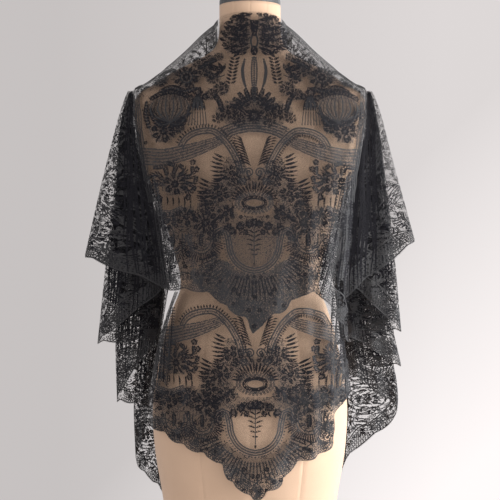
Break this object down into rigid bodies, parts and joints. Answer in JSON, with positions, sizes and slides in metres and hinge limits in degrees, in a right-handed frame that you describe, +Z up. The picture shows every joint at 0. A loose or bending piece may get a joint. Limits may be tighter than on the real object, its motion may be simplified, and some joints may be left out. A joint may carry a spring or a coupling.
{
  "type": "lace shawl on dress form",
  "caption": "Black lace shawl, folded in two, draped over a limbless linen dress form on a pole and round base, with pointed scalloped hems and cascading sides.",
  "frame": {"origin": "centre of the stand's underside, on the floor", "axes": "+Z up, the back of the form with the shawl's points faces -Y, the chest faces +Y, +X to the right seen from the back"},
  "size_m": [0.5852, 0.38, 1.392],
  "materials": {
    "black_lace": "open net ground with matt woven flowers",
    "linen": "plain woven linen cover",
    "slate": "satin",
    "painted_metal": "satin black paint"
  },
  "bodies": {
    "root": {"form_torso": "linen", "neck_cap": "slate", "stand_pole": "painted_metal", "stand_base": "painted_metal", "upper_back": "black_lace", "lower_back": "black_lace", "left_fall_1": "black_lace", "left_fall_2": "black_lace", "left_fall_3": "black_lace", "right_fall_1": "black_lace", "right_fall_2": "black_lace", "right_fall_3": "black_lace", "left_front": "black_lace", "right_front": "black_lace"}
  },
  "joints": []
}
